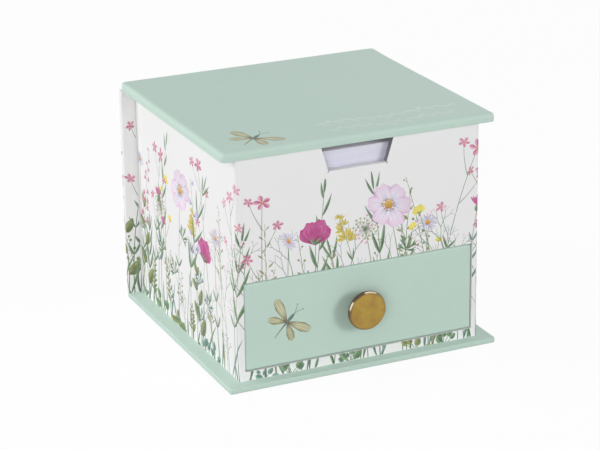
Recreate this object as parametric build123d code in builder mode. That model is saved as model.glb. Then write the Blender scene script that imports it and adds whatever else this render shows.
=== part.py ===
"""Memo box of paper-covered board: note compartment with hinged lid, and a drawer below it.

Millimetres, +Z up, front towards -Y.
The origin is the centre of the base panel's underside.
"""

import os

from build123d import *

# ---------------------------------------------------------------- driving dimensions
# Memo sheets and the room around them
sheet_width = 90.0
sheet_depth = 90.0
stack_height = 41.1
sheet_side_gap = 1.2
sheet_front_gap = 1.2
sheet_back_gap = 2.7
stack_headroom = 3.0

# Boards and papers
wall_board = 1.9
floor_thickness = 3.3
shelf_thickness = 1.9
base_board_thickness = 1.6
spine_board_thickness = 2.2
lid_board_thickness = 1.6
lid_padding_thickness = 1.6
drawer_front_thickness = 2.0
tray_board = 1.5
paper = 0.2

# Panels that stand out from the body
side_overhang = 5.6
base_front_overhang = 4.8
lid_front_overhang = 1.8

# Paper turned in over the boards' edges
cover_turn_in = 15.0
rim_turn_in = 12.0
window_turn_in = 10.0
tray_turn_in = 8.0
lining_margin = 3.0

# Thumb notch in the front wall
notch_bottom_width = 23.1
notch_top_width = 28.8
notch_depth = 9.35
notch_offset = -0.9

# Drawer
drawer_front_height = 33.3
drawer_gap_left = 0.25
drawer_gap_right = 0.45
drawer_gap_below = 0.4
drawer_gap_above = 0.4
drawer_gap_behind = 0.4
tray_height = 30.0
tray_side_step = 0.3

# Knob with its screw and washer
knob_diameter = 15.2
knob_head_thickness = 1.7
knob_stem_length = 5.2
knob_stem_diameter = 5.6
knob_stem_waist = 4.6
knob_edge_chamfer = 0.3
knob_offset = -0.1
knob_lift = 0.7
screw_diameter = 3.0
screw_reach = 4.2
screw_head_diameter = 5.6
screw_head_height = 1.9
screw_head_chamfer = 0.7
screw_slot_width = 0.8
screw_slot_depth = 0.8
thread_clearance = 0.05
screw_hole_clearance = 0.2
washer_diameter = 7.5
washer_thickness = 0.6

# Edges and corners, outside the paper
fold_chamfer = 0.25
body_corner_radius = 1.0
base_corner_radius = 1.0
spine_corner_radius = 0.6
lid_corner_radius = 2.2
lid_top_radius = 1.6
drawer_edge_radius = 0.8
drawer_corner_radius = 0.9

# Paper joint between spine and lid
joint_thickness = 0.4
joint_rise = 2.0
joint_sag = 0.35

# ---------------------------------------------------------------- derived sizes
wall = wall_board + 2 * paper
compartment_width = sheet_width + 2 * sheet_side_gap
compartment_depth = sheet_front_gap + sheet_depth + sheet_back_gap
body_width = compartment_width + 2 * wall
body_depth = compartment_depth + 2 * wall
base_thickness = base_board_thickness + 2 * paper
spine_thickness = spine_board_thickness + 2 * paper
base_depth = base_front_overhang + body_depth + spine_thickness

# Levels, from the underside up
z_body = base_thickness
z_floor_top = z_body + floor_thickness
z_window_bottom = z_floor_top + paper
z_drawer = z_window_bottom + drawer_gap_below
z_drawer_top = z_drawer + drawer_front_height
z_window_top = z_drawer_top + drawer_gap_above
z_shelf = z_window_top + paper
z_shelf_top = z_shelf + shelf_thickness
z_compartment = z_shelf_top + paper
z_stack_top = z_compartment + stack_height
z_top = z_stack_top + stack_headroom
z_lid_board = z_top + 2 * paper
z_lid_padding = z_lid_board + lid_board_thickness
z_lid_top = z_lid_padding + lid_padding_thickness + paper

# Stations from front to back
y_base_front = -base_depth / 2
y_front = y_base_front + base_front_overhang
y_back = y_front + body_depth
y_spine = y_back + spine_thickness
y_lid_front = y_front - lid_front_overhang

# Half widths
half_body = body_width / 2
half_panel = half_body + side_overhang
half_board_inside = half_body - paper - wall_board
half_lined = compartment_width / 2

# Faces of the boards, and of the papers on them
y_board_front = y_front + paper
y_front_wall_inside = y_board_front + wall_board
y_compartment_front = y_front + wall
y_compartment_back = y_back - wall
y_board_back = y_back - paper
y_back_wall_inside = y_board_back - wall_board
z_board_top = z_top - paper

# Drawer
x_drawer_left = -half_lined + drawer_gap_left
x_drawer_right = half_lined - drawer_gap_right
x_drawer = (x_drawer_left + x_drawer_right) / 2
y_drawer_front_inside = y_front + drawer_front_thickness + 2 * paper
y_drawer_back = y_back_wall_inside - drawer_gap_behind
x_tray_left = x_drawer_left + tray_side_step
x_tray_right = x_drawer_right - tray_side_step
z_tray_top = z_drawer + tray_height
z_tray_floor = z_drawer + tray_board
x_knob = x_drawer + knob_offset
z_knob = (z_drawer + z_drawer_top) / 2 + knob_lift

os.makedirs("parts", exist_ok=True)


# ---------------------------------------------------------------- helpers
def block(x, y, z, corner=0.0, mode=Mode.ADD):
    """Extrude a plan rectangle given by its x and y limits between two heights."""
    with BuildSketch(Plane.XY.offset(z[0])) as plan:
        with Locations(((x[0] + x[1]) / 2, (y[0] + y[1]) / 2)):
            if corner > 0:
                RectangleRounded(x[1] - x[0], y[1] - y[0], corner)
            else:
                Rectangle(x[1] - x[0], y[1] - y[0])
    extrude(plan.sketch, amount=z[1] - z[0], mode=mode)


def shrink(limits, margin):
    """Limits drawn in by a margin at both ends."""
    return (limits[0] + margin, limits[1] - margin)


def both_sides(half):
    """Limits that lie symmetric about the centre."""
    return (-half, half)


def notch(spread, y):
    """Cut the trapezoid thumb notch, widened by spread on its three sides, through a y span."""
    depth = notch_depth + spread
    slope = (notch_top_width - notch_bottom_width) / 2 / notch_depth
    lean = spread * ((1 + slope**2) ** 0.5 - slope)
    half_bottom = notch_bottom_width / 2 + lean
    half_top = half_bottom + slope * (depth + spread)
    with BuildSketch(Plane.XZ.offset(-y[1])) as outline:
        with BuildLine():
            Polyline(
                (notch_offset - half_bottom, z_top - depth),
                (notch_offset + half_bottom, z_top - depth),
                (notch_offset + half_top, z_top + spread),
                (notch_offset - half_top, z_top + spread),
                close=True,
            )
        make_face()
    extrude(outline.sketch, amount=y[1] - y[0], mode=Mode.SUBTRACT)


def round_bore(radius, y):
    """Cut a round hole on the knob's axis through a y span."""
    with BuildSketch(Plane.XZ.offset(-y[1])) as circle:
        with Locations((x_knob, z_knob)):
            Circle(radius)
    extrude(circle.sketch, amount=y[1] - y[0], mode=Mode.SUBTRACT)


def finish(piece, name):
    """Label a finished piece and write its file."""
    piece.part.label = name
    export_step(piece.part, f"parts/{name}.step")


# ---------------------------------------------------------------- base panel
base_x = both_sides(half_panel)
base_y = (y_base_front, y_spine)
base_board_z = (paper, paper + base_board_thickness)

with BuildPart() as base_board:
    block(shrink(base_x, paper), shrink(base_y, paper), base_board_z, base_corner_radius - paper)
finish(base_board, "base_board")

with BuildPart() as base_cover:
    block(base_x, base_y, (0, base_thickness), base_corner_radius)
    rims = faces().filter_by(Axis.Z).edges()
    chamfer(rims, fold_chamfer)
    add(base_board.part, mode=Mode.SUBTRACT)
    block(
        shrink(base_x, cover_turn_in),
        shrink(base_y, cover_turn_in),
        (base_board_z[1], base_thickness),
        mode=Mode.SUBTRACT,
    )
finish(base_cover, "base_cover")

# ---------------------------------------------------------------- spine
spine_x = both_sides(half_panel)
spine_y = (y_back, y_spine)

with BuildPart() as spine_board:
    block(
        shrink(spine_x, paper),
        shrink(spine_y, paper),
        (z_body, z_board_top),
        spine_corner_radius - paper,
    )
finish(spine_board, "spine_board")

with BuildPart() as spine_cover:
    block(spine_x, spine_y, (z_body, z_top), spine_corner_radius)
    add(spine_board.part, mode=Mode.SUBTRACT)
    block(
        shrink(spine_x, cover_turn_in),
        (y_back, y_back + paper),
        (z_body, z_top - cover_turn_in),
        mode=Mode.SUBTRACT,
    )
finish(spine_cover, "spine_cover")

# ---------------------------------------------------------------- lid
lid_x = both_sides(half_panel)
lid_y = (y_lid_front, y_back)
lid_core_x = shrink(lid_x, paper)
lid_core_y = shrink(lid_y, paper)
lid_core_corner = lid_corner_radius - paper
lining_z = (z_top, z_top + paper)

with BuildPart() as lid_board:
    block(lid_core_x, lid_core_y, (z_lid_board, z_lid_padding), lid_core_corner)
finish(lid_board, "lid_board")

with BuildPart() as lid_padding:
    block(lid_core_x, lid_core_y, (z_lid_padding, z_lid_top - paper), lid_core_corner)
    top_rim = faces().sort_by(Axis.Z)[-1].edges()
    fillet(top_rim, lid_top_radius - paper)
finish(lid_padding, "lid_padding")

with BuildPart() as lid_cover:
    block(lid_x, lid_y, (lining_z[1], z_lid_top), lid_corner_radius)
    top_rim = faces().sort_by(Axis.Z)[-1].edges()
    fillet(top_rim, lid_top_radius)
    bottom_rim = faces().sort_by(Axis.Z)[0].edges()
    chamfer(bottom_rim, fold_chamfer)
    add(lid_board.part, mode=Mode.SUBTRACT)
    add(lid_padding.part, mode=Mode.SUBTRACT)
    block(
        shrink(lid_x, cover_turn_in),
        shrink(lid_y, cover_turn_in),
        (lining_z[1], z_lid_board),
        mode=Mode.SUBTRACT,
    )
finish(lid_cover, "lid_cover")

# The lining lies over the turned-in paper and steps up to the board inside it.
with BuildPart() as lid_lining:
    block(shrink(lid_x, lining_margin), shrink(lid_y, lining_margin), lining_z)
    block(shrink(lid_x, cover_turn_in), shrink(lid_y, cover_turn_in), (lining_z[1], z_lid_board))
finish(lid_lining, "lid_lining")

# The paper joint leaves the spine's top edge and reaches the lid's back edge in a shallow groove.
joint_length = 2 * (half_panel - lid_corner_radius)
joint_mid_y = (y_spine + y_back) / 2 - joint_sag
joint_mid_z = z_top + joint_rise / 2 - joint_sag
joint_step = joint_thickness / 2**0.5

with BuildPart() as lid_joint:
    with BuildSketch(Plane.YZ.offset(-joint_length / 2)):
        with BuildLine():
            outer_start = (y_spine, z_top)
            outer_end = (y_back, z_top + joint_rise)
            inner_end = (y_back, z_top + joint_rise - joint_thickness)
            inner_start = (y_spine - joint_thickness, z_top)
            ThreePointArc(outer_start, (joint_mid_y, joint_mid_z), outer_end)
            Line(outer_end, inner_end)
            ThreePointArc(
                inner_end,
                (joint_mid_y - joint_step / 2, joint_mid_z - joint_step / 2),
                inner_start,
            )
            Line(inner_start, outer_start)
        make_face()
    extrude(amount=joint_length)
finish(lid_joint, "lid_joint")

# ---------------------------------------------------------------- body
wall_z = (z_body, z_board_top)
body_inside_x = both_sides(half_board_inside)
board_corner = body_corner_radius - paper

for side, name in ((-1, "left_wall"), (1, "right_wall")):
    outer_face = side * (half_body - paper)
    inner_face = side * half_board_inside
    wall_x = (min(outer_face, inner_face), max(outer_face, inner_face))
    with BuildPart() as side_wall:
        block(wall_x, (y_board_front, y_board_back), wall_z)
        outer_corners = edges().filter_by(Axis.Z).group_by(Axis.X)[0 if side < 0 else -1]
        fillet(outer_corners, board_corner)
    finish(side_wall, name)
    if side < 0:
        left_wall = side_wall
    else:
        right_wall = side_wall

with BuildPart() as back_wall:
    block(body_inside_x, (y_back_wall_inside, y_board_back), wall_z)
finish(back_wall, "back_wall")

with BuildPart() as front_wall:
    block(body_inside_x, (y_board_front, y_front_wall_inside), (z_shelf, z_board_top))
    notch(paper, (y_board_front, y_front_wall_inside))
finish(front_wall, "front_wall")

with BuildPart() as floor_board:
    block(body_inside_x, (y_board_front, y_back_wall_inside), (z_body, z_floor_top))
finish(floor_board, "floor_board")

with BuildPart() as shelf:
    block(body_inside_x, (y_front_wall_inside, y_back_wall_inside), (z_shelf, z_shelf_top))
finish(shelf, "shelf")

# One sheet of paper runs round the boards and turns in at the rim, the notch and the drawer window.
lined_x = both_sides(half_lined)
window_back = y_front + window_turn_in
z_rim_paper = z_top - rim_turn_in

with BuildPart() as body_wrap:
    block(both_sides(half_body), (y_front, y_back), (z_body, z_top), body_corner_radius)
    for board in (left_wall, right_wall, back_wall, front_wall, floor_board, shelf):
        add(board.part, mode=Mode.SUBTRACT)
    block(
        lined_x,
        (y_compartment_front, y_compartment_back),
        (z_rim_paper, z_top),
        mode=Mode.SUBTRACT,
    )
    block(
        body_inside_x,
        (y_front_wall_inside, y_back_wall_inside),
        (z_shelf_top, z_rim_paper),
        mode=Mode.SUBTRACT,
    )
    block(lined_x, (y_front, window_back), (z_window_bottom, z_window_top), mode=Mode.SUBTRACT)
    block(
        body_inside_x,
        (window_back, y_back_wall_inside),
        (z_floor_top, z_shelf),
        mode=Mode.SUBTRACT,
    )
    notch(0.0, (y_front, y_compartment_front))
finish(body_wrap, "body_wrap")

with BuildPart() as compartment_lining:
    block(body_inside_x, (y_front_wall_inside, y_back_wall_inside), (z_shelf_top, z_rim_paper))
    block(
        lined_x,
        (y_compartment_front, y_compartment_back),
        (z_compartment, z_rim_paper),
        mode=Mode.SUBTRACT,
    )
finish(compartment_lining, "compartment_lining")

with BuildPart() as memo_sheets:
    stack_front = y_compartment_front + sheet_front_gap
    block(
        both_sides(sheet_width / 2),
        (stack_front, stack_front + sheet_depth),
        (z_compartment, z_stack_top),
    )
finish(memo_sheets, "memo_sheets")

# ---------------------------------------------------------------- drawer front
front_x = (x_drawer_left, x_drawer_right)
front_z = (z_drawer, z_drawer_top)
front_board_y = (y_board_front, y_board_front + drawer_front_thickness)
hole_radius = screw_diameter / 2 + screw_hole_clearance

with BuildPart() as drawer_front_board:
    block(shrink(front_x, paper), front_board_y, shrink(front_z, paper))
    fillet(edges().filter_by(Axis.Y), drawer_corner_radius - paper)
    face_rim = faces().sort_by(Axis.Y)[0].edges()
    fillet(face_rim, drawer_edge_radius - paper)
    round_bore(hole_radius, front_board_y)
finish(drawer_front_board, "drawer_front_board")

with BuildPart() as drawer_front_cover:
    block(front_x, (y_front, y_drawer_front_inside), front_z)
    fillet(edges().filter_by(Axis.Y), drawer_corner_radius)
    face_rim = faces().sort_by(Axis.Y)[0].edges()
    fillet(face_rim, drawer_edge_radius)
    add(drawer_front_board.part, mode=Mode.SUBTRACT)
    block(
        (x_tray_left + paper + tray_board, x_tray_right - paper - tray_board),
        (front_board_y[1], y_drawer_front_inside),
        (z_tray_floor, z_tray_top - tray_turn_in),
        mode=Mode.SUBTRACT,
    )
    round_bore(hole_radius, (y_front, y_drawer_front_inside))
finish(drawer_front_cover, "drawer_front_cover")

# ---------------------------------------------------------------- tray
tray_y = (y_drawer_front_inside, y_drawer_back - paper)
tray_board_z = (z_drawer, z_tray_top - paper)
x_side_left = x_tray_left + paper
x_side_right = x_tray_right - paper
tray_inside_x = (x_side_left + tray_board, x_side_right - tray_board)
tray_inside_y = (tray_y[0], tray_y[1] - tray_board)

with BuildPart() as drawer_left_side:
    block((x_side_left, tray_inside_x[0]), tray_y, tray_board_z)
finish(drawer_left_side, "drawer_left_side")

with BuildPart() as drawer_right_side:
    block((tray_inside_x[1], x_side_right), tray_y, tray_board_z)
finish(drawer_right_side, "drawer_right_side")

with BuildPart() as drawer_back:
    block(tray_inside_x, (tray_inside_y[1], tray_y[1]), tray_board_z)
finish(drawer_back, "drawer_back")

with BuildPart() as drawer_bottom:
    block(tray_inside_x, tray_inside_y, (z_drawer, z_tray_floor))
finish(drawer_bottom, "drawer_bottom")

z_tray_rim_paper = z_tray_top - tray_turn_in

with BuildPart() as drawer_wrap:
    block((x_tray_left, x_tray_right), (tray_y[0], y_drawer_back), (z_drawer, z_tray_top))
    for board in (drawer_left_side, drawer_right_side, drawer_back, drawer_bottom):
        add(board.part, mode=Mode.SUBTRACT)
    block(
        shrink(tray_inside_x, paper),
        (tray_inside_y[0], tray_inside_y[1] - paper),
        (z_tray_rim_paper, z_tray_top),
        mode=Mode.SUBTRACT,
    )
    block(tray_inside_x, tray_inside_y, (z_tray_floor, z_tray_rim_paper), mode=Mode.SUBTRACT)
finish(drawer_wrap, "drawer_wrap")

lining_y = (front_board_y[1], tray_inside_y[1])
with BuildPart() as drawer_lining:
    block(tray_inside_x, lining_y, (z_tray_floor, z_tray_rim_paper))
    block(
        shrink(tray_inside_x, paper),
        shrink(lining_y, paper),
        (z_tray_floor + paper, z_tray_rim_paper),
        mode=Mode.SUBTRACT,
    )
    round_bore(hole_radius, (lining_y[0], lining_y[0] + paper))
finish(drawer_lining, "drawer_lining")

# ---------------------------------------------------------------- knob, turned about its own axis
# The profiles are drawn with x as radius and y as distance out from the drawer front.
knob_axis_plane = Plane(origin=(x_knob, y_front, z_knob), x_dir=(1, 0, 0), z_dir=(0, 0, 1))
knob_axis = Axis((x_knob, y_front, z_knob), (0, -1, 0))
knob_radius = knob_diameter / 2
bore_radius = screw_diameter / 2 + thread_clearance
head_back = -knob_stem_length
head_front = head_back - knob_head_thickness

with BuildPart() as knob_head:
    with BuildSketch(knob_axis_plane):
        with Locations((knob_radius / 2, (head_back + head_front) / 2)):
            Rectangle(knob_radius, knob_head_thickness)
        rim_corners = vertices().sort_by(Axis.X)[-2:]
        chamfer(rim_corners, knob_edge_chamfer)
    revolve(axis=knob_axis)
finish(knob_head, "knob_head")

with BuildPart() as knob_stem:
    with BuildSketch(knob_axis_plane):
        with BuildLine():
            foot = (knob_stem_diameter / 2, 0)
            top = (knob_stem_diameter / 2, head_back)
            Line((0, 0), foot)
            ThreePointArc(foot, (knob_stem_waist / 2, head_back / 2), top)
            Line(top, (0, head_back))
            Line((0, head_back), (0, 0))
        make_face()
    revolve(axis=knob_axis)
    round_bore(bore_radius, (y_front - screw_reach, y_front))
finish(knob_stem, "knob_stem")

y_washer = front_board_y[1] + paper
y_screw_head = y_washer + washer_thickness

with BuildPart() as knob_washer:
    with BuildSketch(Plane.XZ.offset(-y_screw_head)):
        with Locations((x_knob, z_knob)):
            Circle(washer_diameter / 2)
            Circle(hole_radius, mode=Mode.SUBTRACT)
    extrude(amount=washer_thickness)
finish(knob_washer, "knob_washer")

with BuildPart() as knob_screw:
    with BuildSketch(Plane.XZ.offset(-y_screw_head)):
        with Locations((x_knob, z_knob)):
            Circle(screw_diameter / 2)
    extrude(amount=y_screw_head - y_front + screw_reach)
    with BuildSketch(Plane.XZ.offset(-y_screw_head)):
        with Locations((x_knob, z_knob)):
            Circle(screw_head_diameter / 2)
    extrude(amount=-screw_head_height)
    head_rim = faces().sort_by(Axis.Y)[-1].edges()
    chamfer(head_rim, screw_head_chamfer)
    with BuildSketch(Plane.XZ.offset(-y_screw_head - screw_head_height)):
        with Locations((x_knob, z_knob)):
            Rectangle(screw_head_diameter, screw_slot_width)
    extrude(amount=screw_slot_depth, mode=Mode.SUBTRACT)
finish(knob_screw, "knob_screw")
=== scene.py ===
import math
import random
from functools import partial

import bmesh
import bpy
import numpy as np
from mathutils import Matrix, Vector
from mathutils.bvhtree import BVHTree


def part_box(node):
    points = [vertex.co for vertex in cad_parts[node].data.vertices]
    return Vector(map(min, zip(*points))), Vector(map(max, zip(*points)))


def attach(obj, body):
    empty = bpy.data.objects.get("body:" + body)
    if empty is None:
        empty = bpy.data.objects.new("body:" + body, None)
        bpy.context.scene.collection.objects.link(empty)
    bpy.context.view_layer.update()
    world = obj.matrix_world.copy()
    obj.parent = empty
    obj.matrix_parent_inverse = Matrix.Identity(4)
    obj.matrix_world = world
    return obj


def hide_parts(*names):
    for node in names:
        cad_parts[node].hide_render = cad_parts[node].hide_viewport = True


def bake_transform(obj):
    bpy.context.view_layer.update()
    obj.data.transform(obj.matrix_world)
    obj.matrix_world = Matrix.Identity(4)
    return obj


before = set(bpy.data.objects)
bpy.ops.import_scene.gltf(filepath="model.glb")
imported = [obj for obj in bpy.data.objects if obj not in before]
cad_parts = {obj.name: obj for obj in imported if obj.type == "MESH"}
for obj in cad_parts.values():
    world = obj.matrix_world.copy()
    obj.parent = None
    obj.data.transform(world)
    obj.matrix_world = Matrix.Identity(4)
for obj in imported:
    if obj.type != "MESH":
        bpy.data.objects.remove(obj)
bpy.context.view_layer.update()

# ======== sizes, in millimetres
MM = 0.001


def limits(node):
    """Lowest and highest corner of a CAD node."""
    low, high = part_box(node)
    return np.array(low) / MM, np.array(high) / MM


body_low, body_high = limits("body_wrap")
spine_low, spine_high = limits("spine_cover")
base_low, base_high = limits("base_cover")
lid_low, lid_high = limits("lid_cover")
joint_low, joint_high = limits("lid_joint")
front_low, front_high = limits("drawer_front_cover")
stack_low, stack_high = limits("memo_sheets")
knob_low, knob_high = limits("knob_head")
lining_low, lining_high = limits("compartment_lining")

PAPER = 0.2
COVER_TURN_IN = 15.0
BODY_CORNER_RADIUS = 1.0
SPINE_CORNER_RADIUS = 0.6
LID_CORNER_RADIUS = 1.8
LID_EDGE_RADIUS = 1.7
BASE_CORNER_RADIUS = 1.1
BASE_EDGE_RADIUS = 0.45
FOLD_RADIUS = 0.3

# ======== colours and nodes


def linear(hex_colour):
    """Linear red, green and blue of an sRGB hex colour."""
    parts = [int(hex_colour[i : i + 2], 16) / 255 for i in (1, 3, 5)]
    return [c / 12.92 if c <= 0.04045 else ((c + 0.055) / 1.055) ** 2.4 for c in parts]


def add_node(tree, kind, links=None, **settings):
    """Add a node. Its links map input names or numbers to nodes, outputs, hex colours or other values.

    A node stands for the first output that it shows. A Mix of colours has its share at 0, and the
    colours at 6 and 7."""
    node = tree.nodes.new("ShaderNode" + kind)
    for name, value in settings.items():
        setattr(node, name, value)
    for name, value in (links or {}).items():
        if isinstance(value, str):
            value = (*linear(value), 1.0)
        if isinstance(value, bpy.types.Node):
            value = next(output for output in value.outputs if output.enabled)
        if isinstance(value, bpy.types.NodeSocket):
            tree.links.new(value, node.inputs[name])
        else:
            node.inputs[name].default_value = value
    return node


def new_material(name):
    """An empty node material, add_node for its own tree, and the surface's own coordinates."""
    material = bpy.data.materials.new(name)
    material.use_nodes = True
    material.node_tree.nodes.clear()
    add = partial(add_node, material.node_tree)
    return material, add, add("TexCoord").outputs["Object"]


def per_mm(size):
    """Texture scale for a pattern that repeats about every so many millimetres."""
    return 1.0 / (size * MM)


# ======== materials


def book_paper(name, shade, deep_shade, roughness, streak_depth, fibre_depth):
    """Paper with pulp fibres lying along its making direction.

    Short matted fibres mottle the tone a little, and faint long streaks show where it was pulled."""
    material, add, place = new_material(name)
    long, fine, fibre, cloud = 26.0, 0.55, 0.35, 14.0
    streaks = []
    for sizes in ((long, fine, fine), (fine, long, long)):
        pulled = add("Mapping", {"Vector": place, "Scale": [per_mm(size) for size in sizes]})
        streaks.append(add("TexNoise", {"Vector": pulled, "Scale": 1.0, "Detail": 3.0}))
    laid = add("Math", {0: streaks[0], 1: streaks[1]}, operation="ADD")
    matted = add("TexNoise", {"Vector": place, "Scale": per_mm(fibre), "Detail": 4.0})
    clouds = add("TexNoise", {"Vector": place, "Scale": per_mm(cloud), "Detail": 2.0})
    tone = add("Math", {0: laid, 1: clouds}, operation="ADD")
    share = add("MapRange", {"Value": tone, "From Min": 1.2, "From Max": 1.8})
    colour = add("Mix", {0: share, 6: shade, 7: deep_shade}, data_type="RGBA")
    bump = add("Bump", {"Height": laid, "Distance": streak_depth * MM})
    bump = add("Bump", {"Height": matted, "Distance": fibre_depth * MM, "Normal": bump})
    shader = add("BsdfPrincipled", {"Base Color": colour, "Roughness": roughness, "IOR": 1.5, "Normal": bump})
    add("OutputMaterial", {"Surface": shader})
    return material


def printed_ink():
    """Water-based offset ink soaked into paper: matt, and grainy where the pigment settled."""
    material, add, place = new_material("offset_ink_on_paper")
    grain, pool = 0.45, 2.6
    ink = add("Attribute", attribute_name="ink")
    fine = add("TexNoise", {"Vector": place, "Scale": per_mm(grain), "Detail": 3.0})
    wide = add("TexNoise", {"Vector": place, "Scale": per_mm(pool), "Detail": 2.0})
    settled = add("Math", {0: fine, 1: wide}, operation="ADD")
    thin = add("MapRange", {"Value": settled, "From Min": 0.75, "From Max": 1.3, "To Max": 0.16})
    colour = add("Mix", {0: thin, 6: ink, 7: "#F5F4F3"}, data_type="RGBA")
    shader = add("BsdfPrincipled", {"Base Color": colour, "Roughness": 0.58, "IOR": 1.5})
    add("OutputMaterial", {"Surface": shader})
    return material


def greyboard():
    """Greyboard pressed from waste paper: flecked, with a rough cut edge. Its cool mauve-grey is partly
    painted shade, set for the notch's sloping sides.
    """
    material, add, place = new_material("pressed_greyboard")
    fleck, ply, ply_length = 1.4, 0.4, 9.0
    flecks = add("TexNoise", {"Vector": place, "Scale": per_mm(fleck), "Detail": 6.0})
    pressed = [per_mm(size) for size in (ply_length, ply_length, ply)]
    plies = add("Mapping", {"Vector": place, "Scale": pressed})
    plies = add("TexNoise", {"Vector": plies, "Scale": 1.0, "Detail": 2.0})
    # the mauve tint and depth of this grey are partly painted shade
    colour = add("Mix", {0: flecks, 6: "#78727E", 7: "#9C96A0"}, data_type="RGBA")
    bump = add("Bump", {"Height": plies, "Distance": 0.05 * MM})
    shader = add("BsdfPrincipled", {"Base Color": colour, "Roughness": 0.85, "IOR": 1.5, "Normal": bump})
    add("OutputMaterial", {"Surface": shader})
    return material


def sheet_stack():
    """Uncoated writing paper cut in a guillotine: lilac-grey cut sides with a fine line for each sheet.

    Sheets are 0.1 mm thick, which is too fine to show, so the lines are drawn 0.45 mm apart. The top
    sheet, seen flat, is whiter than the cut sides."""
    material, add, place = new_material("cut_writing_paper")
    line_step, line_length, top = 0.45, 60.0, stack_high[2]
    cut_way = [per_mm(size) for size in (line_length, line_length, line_step)]
    layers = add("Mapping", {"Vector": place, "Scale": cut_way})
    layers = add("TexNoise", {"Vector": layers, "Scale": 1.0, "Detail": 3.0})
    share = add("MapRange", {"Value": layers, "From Min": 0.35, "From Max": 0.65})
    sides = add("Mix", {0: share, 6: "#E4E3F2", 7: "#ECEBF7"}, data_type="RGBA")
    height = add("SeparateXYZ", {0: place}).outputs["Z"]
    upper = add("MapRange", {"Value": height, "From Min": (top - 0.03) * MM, "From Max": (top - 0.01) * MM})
    colour = add("Mix", {0: upper, 6: sides, 7: "#F0EEF7"}, data_type="RGBA")
    bump = add("Bump", {"Height": layers, "Strength": 0.6, "Distance": 0.03 * MM})
    paper = {"Base Color": colour, "Roughness": 0.8, "IOR": 1.5, "Normal": bump}
    glow = {"Subsurface Weight": 0.6, "Subsurface Radius": (1.0, 0.95, 1.05), "Subsurface Scale": 1.6 * MM}
    add("OutputMaterial", {"Surface": add("BsdfPrincipled", paper | glow)})
    return material


def aged_brass():
    """Turned brass, antiqued and lacquered: gold with brown clouds on its face.

    The shoulder round the face is dark brown: patina, and painted dark reflection, darkest towards the upper
    left. Two pale crescents on it, at the top and upper left, are painted highlights."""
    material, add, place = new_material("antiqued_brass")
    cloud, speck = 3.4, 0.9
    hub = (knob_low + knob_high) / 2 * MM
    clouds = add("TexNoise", {"Vector": place, "Scale": per_mm(cloud), "Detail": 5.0, "Roughness": 0.62})
    specks = add("TexNoise", {"Vector": place, "Scale": per_mm(speck), "Detail": 3.0})
    patina = add("MapRange", {"Value": clouds, "From Min": 0.3, "From Max": 0.7})
    gold = add("Mix", {0: patina, 6: "#947028", 7: "#A68A2A"}, data_type="RGBA")
    depth = add("SeparateXYZ", {0: place}).outputs["Y"]
    flat = add("Mapping", {"Vector": place, "Scale": (1.0, 0.0, 1.0)})
    spoke = add("VectorMath", {0: flat, 1: (hub[0], 0.0, hub[2])}, operation="SUBTRACT")
    spoke = add("VectorMath", {0: spoke}, operation="NORMALIZE")

    def behind_face(start, end):
        """Grows from 0 to 1 between two depths behind the knob's face."""
        reach = {"From Min": (knob_low[1] + start) * MM, "From Max": (knob_low[1] + end) * MM}
        return add("MapRange", {"Value": depth, **reach})

    def around_rim(way, far, near):
        """Grows to 1 towards one way round the knob, given in degrees."""
        middle = (math.cos(math.radians(way)), 0.0, math.sin(math.radians(way)))
        facing = add("VectorMath", {0: spoke, 1: middle}, operation="DOT_PRODUCT")
        return add("MapRange", {"Value": facing, "From Min": far, "From Max": near})

    rim = behind_face(0.1, 0.2)
    # darker towards the upper left: patina with painted dark reflection
    patina_and_painted_reflection = add("Mix", {0: around_rim(120, 0.2, 0.75), 6: "#8C6A2E", 7: "#54401F"}, data_type="RGBA")
    brown = add("Mix", {0: rim, 6: gold, 7: patina_and_painted_reflection}, data_type="RGBA")
    # two pale crescents at the top and upper left: painted highlights standing in for reflections of the
    # softboxes
    painted_glint = {0: around_rim(80, 0.93, 0.965), 1: around_rim(156, 0.965, 0.99)}
    painted_glint = add("Math", painted_glint, operation="MAXIMUM")
    crest = add("Math", {0: behind_face(0.3, 0.38), 1: behind_face(0.85, 0.98)}, operation="SUBTRACT")
    bright = add("Math", {0: crest, 1: painted_glint}, operation="MULTIPLY")
    colour = add("Mix", {0: bright, 6: brown, 7: "#EADCBE"}, data_type="RGBA")
    rough = {"Value": specks, "From Min": 0.3, "From Max": 0.7, "To Min": 0.34, "To Max": 0.5}
    worn = add("MapRange", {"Value": rim, "To Min": 1.0, "To Max": 0.4})
    smooth = add("Math", {0: add("MapRange", rough), 1: worn}, operation="MULTIPLY")
    bump = add("Bump", {"Height": specks, "Strength": 0.5, "Distance": 0.02 * MM})
    metal = {"Base Color": colour, "Metallic": 1.0, "Roughness": smooth, "Normal": bump}
    lacquer = {"Coat Weight": 1.0, "Coat Roughness": 0.1}
    add("OutputMaterial", {"Surface": add("BsdfPrincipled", metal | lacquer)})
    return material


def zinc_steel():
    """Zinc-plated steel of the screw and washer: bluish grey, softly brushed by handling."""
    material, add, place = new_material("zinc_plated_steel")
    scuff = 0.7
    scuffs = add("TexNoise", {"Vector": place, "Scale": per_mm(scuff), "Detail": 4.0})
    tone = add("Mix", {0: scuffs, 6: "#A9AEB2", 7: "#C7CBCE"}, data_type="RGBA")
    rough = {"Value": scuffs, "From Min": 0.3, "From Max": 0.7, "To Min": 0.28, "To Max": 0.46}
    metal = {"Base Color": tone, "Metallic": 1.0, "Roughness": add("MapRange", rough)}
    add("OutputMaterial", {"Surface": add("BsdfPrincipled", metal)})
    return material


green_paper = book_paper("dyed_green_book_paper", "#C8DFD2", "#C6DDD0", 0.6, 0.0008, 0.002)
printed_paper = book_paper("white_printed_paper", "#F6F5F4", "#F5F4F3", 0.55, 0.0005, 0.0015)
lining_paper = book_paper("white_lining_paper", "#F2F2EF", "#EEEEEB", 0.7, 0.002, 0.004)
ink = printed_ink()
board = greyboard()
stack_paper = sheet_stack()
brass = aged_brass()
steel = zinc_steel()

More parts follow.
